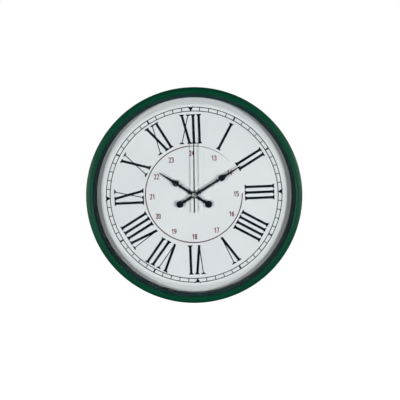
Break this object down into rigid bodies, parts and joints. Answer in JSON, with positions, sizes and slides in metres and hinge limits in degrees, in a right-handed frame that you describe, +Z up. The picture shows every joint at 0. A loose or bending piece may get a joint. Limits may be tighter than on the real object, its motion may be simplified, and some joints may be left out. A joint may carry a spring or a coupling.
{
  "type": "wall clock",
  "caption": "Round wall-hung quartz clock: green pressed bezel and drum, glazed white dial with Roman hours, spade hands, geared movement and keyhole back.",
  "frame": {"origin": "on the axis of the hands, in the plane of the wall that the case's rear rim rests on", "axes": "+Z up; +Y into the wall, so the dial faces -Y; +X to the viewer's right; a positive turn about +Y is clockwise as the dial is read"},
  "size_m": [0.305, 0.0482, 0.305],
  "materials": {
    "case_paint": "semi-gloss dark green enamel",
    "glass": "clear flat glass",
    "black_rubber": "matt",
    "ring_slate": "satin slate grey",
    "dial_white": "matt white enamel on sheet",
    "ink_black": "screen print",
    "ink_red": "screen print",
    "hand_black": "satin black lacquer",
    "second_grey": "satin dark grey lacquer",
    "nickel": "nickel plate",
    "zinc_steel": "zinc plate",
    "back_black": "fine moulded grain",
    "case_plastic": "moulded",
    "knob_plastic": "moulded",
    "gear_plastic": "acetal",
    "brass": "turned",
    "steel": "bright",
    "iron": "soft iron sheet",
    "copper": "enamelled wire",
    "magnet": "ferrite",
    "board": "solder resist",
    "epoxy": "epoxy",
    "battery_jacket": "plain film jacket"
  },
  "bodies": {
    "case": {"bezel": "case_paint", "case_drum": "case_paint", "bezel_seat": "case_paint", "dial_seat": "case_paint", "back_seat": "case_paint", "bezel_screws": "zinc_steel", "glass": "glass", "glass_gasket": "black_rubber", "spacer_ring": "ring_slate", "back_plate": "back_black", "back_plate_screws": "zinc_steel", "wall_pads": "black_rubber", "dial_plate": "dial_white", "dial_surround": "dial_white", "dial_numerals": "ink_black", "dial_minute_track": "ink_black", "dial_24_hour_print": "ink_red", "dial_washer": "black_rubber", "mounting_nut": "brass", "centre_bush": "brass", "movement_case_front": "case_plastic", "movement_case_back": "case_plastic", "train_plate": "gear_plastic", "plate_screws": "zinc_steel", "rotor_bridge": "gear_plastic", "stator": "iron", "coil_core": "iron", "coil_bobbin": "gear_plastic", "coil_winding": "copper", "circuit_board": "board", "circuit_chip": "epoxy", "quartz_crystal": "nickel", "battery": "battery_jacket", "contact_positive": "nickel", "contact_negative": "nickel"},
    "minute_hand_group": {"minute_arbor": "brass", "minute_hand": "hand_black", "hand_nut": "nickel"},
    "hour_hand_group": {"hour_wheel": "gear_plastic", "hour_hand": "hand_black"},
    "minute_wheel_group": {"minute_wheel": "gear_plastic"},
    "setting_knob_group": {"setting_shaft": "gear_plastic", "setting_knob": "knob_plastic"},
    "second_hand_group": {"second_arbor": "steel", "second_wheel": "gear_plastic", "second_hand": "second_grey", "second_hand_cap": "nickel"},
    "third_wheel_group": {"third_wheel": "gear_plastic"},
    "centre_wheel_group": {"centre_wheel": "gear_plastic"},
    "intermediate_wheel_group": {"intermediate_wheel": "gear_plastic"},
    "rotor_group": {"rotor_magnet": "magnet", "rotor_pinion": "gear_plastic"}
  },
  "joints": [
    {"name": "minute_hand_turn", "type": "hinge", "parent": "case", "child": "minute_hand_group", "pos_m": [0, 0, 0], "axis": [0, 1, 0], "continuous": true},
    {"name": "hour_hand_turn", "type": "hinge", "parent": "case", "child": "hour_hand_group", "pos_m": [0, 0, 0], "axis": [0, 1, 0], "continuous": true},
    {"name": "minute_wheel_turn", "type": "hinge", "parent": "case", "child": "minute_wheel_group", "pos_m": [0.00902, 0, -0.00328], "axis": [0, 1, 0], "continuous": true},
    {"name": "setting_knob_turn", "type": "hinge", "parent": "case", "child": "setting_knob_group", "pos_m": [0.01804, 0, -0.00657], "axis": [0, 1, 0], "continuous": true},
    {"name": "second_hand_turn", "type": "hinge", "parent": "case", "child": "second_hand_group", "pos_m": [0, 0, 0], "axis": [0, 1, 0], "continuous": true},
    {"name": "third_wheel_turn", "type": "hinge", "parent": "case", "child": "third_wheel_group", "pos_m": [0.00764, 0, 0.00764], "axis": [0, 1, 0], "continuous": true},
    {"name": "centre_wheel_turn", "type": "hinge", "parent": "case", "child": "centre_wheel_group", "pos_m": [0, 0, 0], "axis": [0, 1, 0], "continuous": true},
    {"name": "intermediate_wheel_turn", "type": "hinge", "parent": "case", "child": "intermediate_wheel_group", "pos_m": [-0.009, 0, 0], "axis": [0, 1, 0], "continuous": true},
    {"name": "rotor_turn", "type": "hinge", "parent": "case", "child": "rotor_group", "pos_m": [-0.0125, 0, 0.00606], "axis": [0, 1, 0], "continuous": true}
  ],
  "couplings": [
    {"joint": "hour_hand_turn", "follows": "minute_hand_turn", "ratio": 0.083333},
    {"joint": "minute_wheel_turn", "follows": "minute_hand_turn", "ratio": -0.33333},
    {"joint": "setting_knob_turn", "follows": "minute_hand_turn", "ratio": 1},
    {"joint": "third_wheel_turn", "follows": "second_hand_turn", "ratio": -0.13333},
    {"joint": "centre_wheel_turn", "follows": "second_hand_turn", "ratio": 0.016667},
    {"joint": "intermediate_wheel_turn", "follows": "second_hand_turn", "ratio": -5},
    {"joint": "rotor_turn", "follows": "second_hand_turn", "ratio": 30}
  ]
}
